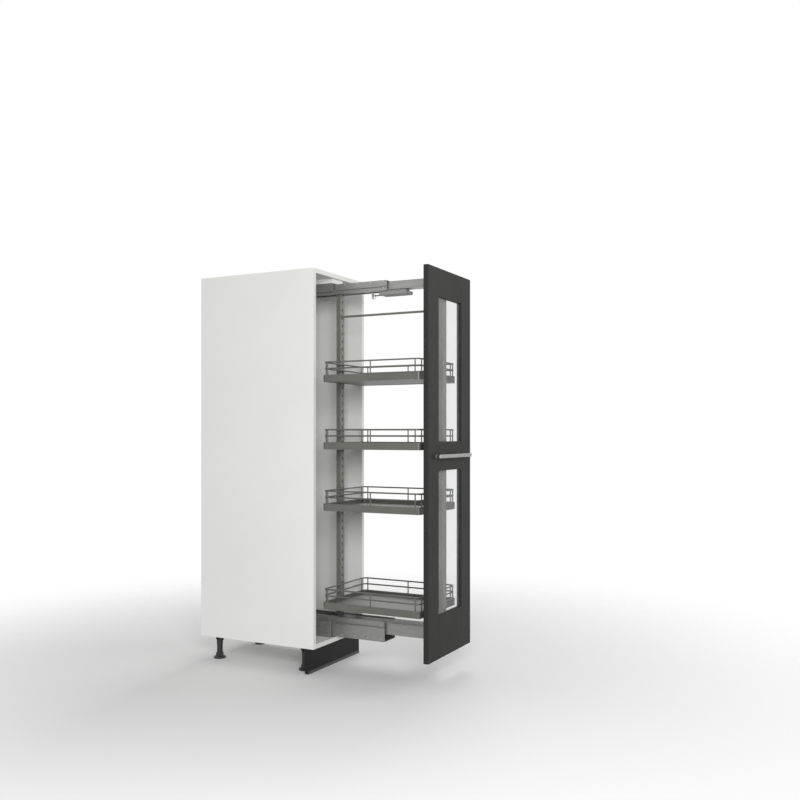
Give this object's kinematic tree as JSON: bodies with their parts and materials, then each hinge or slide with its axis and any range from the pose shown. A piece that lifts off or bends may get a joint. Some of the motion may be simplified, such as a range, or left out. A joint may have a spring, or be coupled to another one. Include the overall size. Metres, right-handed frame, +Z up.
{
  "type": "pull out pantry frame",
  "caption": "Tall narrow pantry cabinet with a telescopic pull-out frame, railed baskets on two posts and a glazed dark front.",
  "frame": {"origin": "on the floor, at the middle of the plinth board's underside", "axes": "+Z up, the front faces -Y and is pulled out along -Y, X across the width"},
  "size_m": [0.4, 1.084, 1.6],
  "materials": {
    "white_board": "white melamine board, satin",
    "plinth_board": "black foil, matt",
    "foot_plastic": "moulded black plastic",
    "dowel_wood": "fluted beech",
    "bumper": "soft clear pads",
    "rail_steel": "zinc plated and lacquered, satin",
    "roller_plastic": "moulded pale grey plastic",
    "bright_steel": "bright zinc",
    "frame_paint": "warm grey powder coat",
    "basket_floor": "grey melamine board",
    "front_board": "dark grey lacquer, satin",
    "pane": "clear float glass",
    "handle_steel": "brushed stainless steel",
    "damper_plastic": "moulded grey plastic"
  },
  "bodies": {
    "cabinet": {"side_panel_left": "white_board", "side_panel_right": "white_board", "top_panel": "white_board", "bottom_panel": "white_board", "back_panel": "white_board", "plinth": "plinth_board", "levelling_feet": "foot_plastic", "corner_dowels": "dowel_wood", "front_bumpers": "bumper", "top_packer": "white_board", "top_outer_rail": "rail_steel", "bottom_outer_rail": "rail_steel", "runner_screws": "bright_steel", "outer_axles": "bright_steel", "damper_catch": "bright_steel"},
    "bottom_middle": {"bottom_middle_rail": "rail_steel", "bottom_middle_axles": "bright_steel"},
    "top_middle": {"top_middle_rail": "rail_steel", "top_middle_axles": "bright_steel"},
    "pull_out": {"bottom_beam": "rail_steel", "top_inner_rail": "rail_steel", "beam_axles": "bright_steel", "rear_post": "frame_paint", "front_post": "frame_paint", "tie_rod": "frame_paint", "shelf_clips": "frame_paint", "front_brackets": "frame_paint", "bracket_screws": "bright_steel", "damper_housing": "damper_plastic", "front_stile_left": "front_board", "front_stile_right": "front_board", "front_top_rail": "front_board", "front_mid_rail": "front_board", "front_bottom_rail": "front_board", "glass_lower": "pane", "glass_upper": "pane", "glazing_beads": "front_board", "handle": "handle_steel", "handle_screws": "bright_steel"},
    "damper_piston": {"damper_rod": "bright_steel"},
    "basket_1": {"basket_1_rim": "frame_paint", "basket_1_floor": "basket_floor"},
    "basket_2": {"basket_2_rim": "frame_paint", "basket_2_floor": "basket_floor"},
    "basket_3": {"basket_3_rim": "frame_paint", "basket_3_floor": "basket_floor"},
    "basket_4": {"basket_4_rim": "frame_paint", "basket_4_floor": "basket_floor"},
    "bottom_outer_rollers": {"bottom_outer_rollers": "roller_plastic"},
    "bottom_middle_rear_rollers": {"bottom_middle_rear_rollers": "roller_plastic"},
    "bottom_middle_front_rollers": {"bottom_middle_front_rollers": "roller_plastic"},
    "bottom_beam_rollers": {"bottom_beam_rollers": "roller_plastic"},
    "top_outer_rollers": {"top_outer_rollers": "roller_plastic"},
    "top_middle_rear_rollers": {"top_middle_rear_rollers": "roller_plastic"},
    "top_middle_front_rollers": {"top_middle_front_rollers": "roller_plastic"},
    "top_beam_rollers": {"top_beam_rollers": "roller_plastic"}
  },
  "joints": [
    {"name": "pull_out", "type": "slide", "parent": "cabinet", "child": "pull_out", "axis": [0, -1, 0], "range_m": [-0.475, 0]},
    {"name": "bottom_middle_slide", "type": "slide", "parent": "cabinet", "child": "bottom_middle", "axis": [0, -1, 0], "range_m": [-0.2375, 0]},
    {"name": "top_middle_slide", "type": "slide", "parent": "cabinet", "child": "top_middle", "axis": [0, -1, 0], "range_m": [-0.2375, 0]},
    {"name": "damper_stroke", "type": "slide", "parent": "pull_out", "child": "damper_piston", "axis": [0, -1, 0], "range_m": [0, 0.04], "stiffness_N_per_m": 120},
    {"name": "basket_1_lift", "type": "slide", "parent": "pull_out", "child": "basket_1", "axis": [0, 0, 1], "range_m": [0, 0.025]},
    {"name": "basket_2_lift", "type": "slide", "parent": "pull_out", "child": "basket_2", "axis": [0, 0, 1], "range_m": [0, 0.025]},
    {"name": "basket_3_lift", "type": "slide", "parent": "pull_out", "child": "basket_3", "axis": [0, 0, 1], "range_m": [0, 0.025]},
    {"name": "basket_4_lift", "type": "slide", "parent": "pull_out", "child": "basket_4", "axis": [0, 0, 1], "range_m": [0, 0.025]},
    {"name": "bottom_outer_spin", "type": "hinge", "parent": "cabinet", "child": "bottom_outer_rollers", "pos_m": [0, -0.007, 0.1682], "axis": [1, 0, 0], "continuous": true},
    {"name": "bottom_middle_rear_spin", "type": "hinge", "parent": "bottom_middle", "child": "bottom_middle_rear_rollers", "pos_m": [0, 0.1985, 0.1712], "axis": [1, 0, 0], "continuous": true},
    {"name": "bottom_middle_front_spin", "type": "hinge", "parent": "bottom_middle", "child": "bottom_middle_front_rollers", "pos_m": [0, -0.2495, 0.1882], "axis": [1, 0, 0], "continuous": true},
    {"name": "bottom_beam_spin", "type": "hinge", "parent": "pull_out", "child": "bottom_beam_rollers", "pos_m": [0, -0.041, 0.1912], "axis": [1, 0, 0], "continuous": true},
    {"name": "top_outer_spin", "type": "hinge", "parent": "cabinet", "child": "top_outer_rollers", "pos_m": [0, -0.007, 1.5428], "axis": [1, 0, 0], "continuous": true},
    {"name": "top_middle_rear_spin", "type": "hinge", "parent": "top_middle", "child": "top_middle_rear_rollers", "pos_m": [0, 0.1985, 1.5398], "axis": [1, 0, 0], "continuous": true},
    {"name": "top_middle_front_spin", "type": "hinge", "parent": "top_middle", "child": "top_middle_front_rollers", "pos_m": [0, -0.2495, 1.5308], "axis": [1, 0, 0], "continuous": true},
    {"name": "top_beam_spin", "type": "hinge", "parent": "pull_out", "child": "top_beam_rollers", "pos_m": [0, -0.041, 1.5278], "axis": [1, 0, 0], "continuous": true}
  ],
  "couplings": [
    {"joint": "bottom_middle_slide", "follows": "pull_out", "ratio": 0.5},
    {"joint": "top_middle_slide", "follows": "pull_out", "ratio": 0.5},
    {"joint": "bottom_outer_spin", "follows": "pull_out", "rad_per_m": 50},
    {"joint": "bottom_middle_rear_spin", "follows": "pull_out", "rad_per_m": 50},
    {"joint": "bottom_middle_front_spin", "follows": "pull_out", "rad_per_m": 50},
    {"joint": "bottom_beam_spin", "follows": "pull_out", "rad_per_m": 50},
    {"joint": "top_outer_spin", "follows": "pull_out", "rad_per_m": -71.429},
    {"joint": "top_middle_rear_spin", "follows": "pull_out", "rad_per_m": -71.429},
    {"joint": "top_middle_front_spin", "follows": "pull_out", "rad_per_m": -71.429},
    {"joint": "top_beam_spin", "follows": "pull_out", "rad_per_m": -71.429}
  ]
}
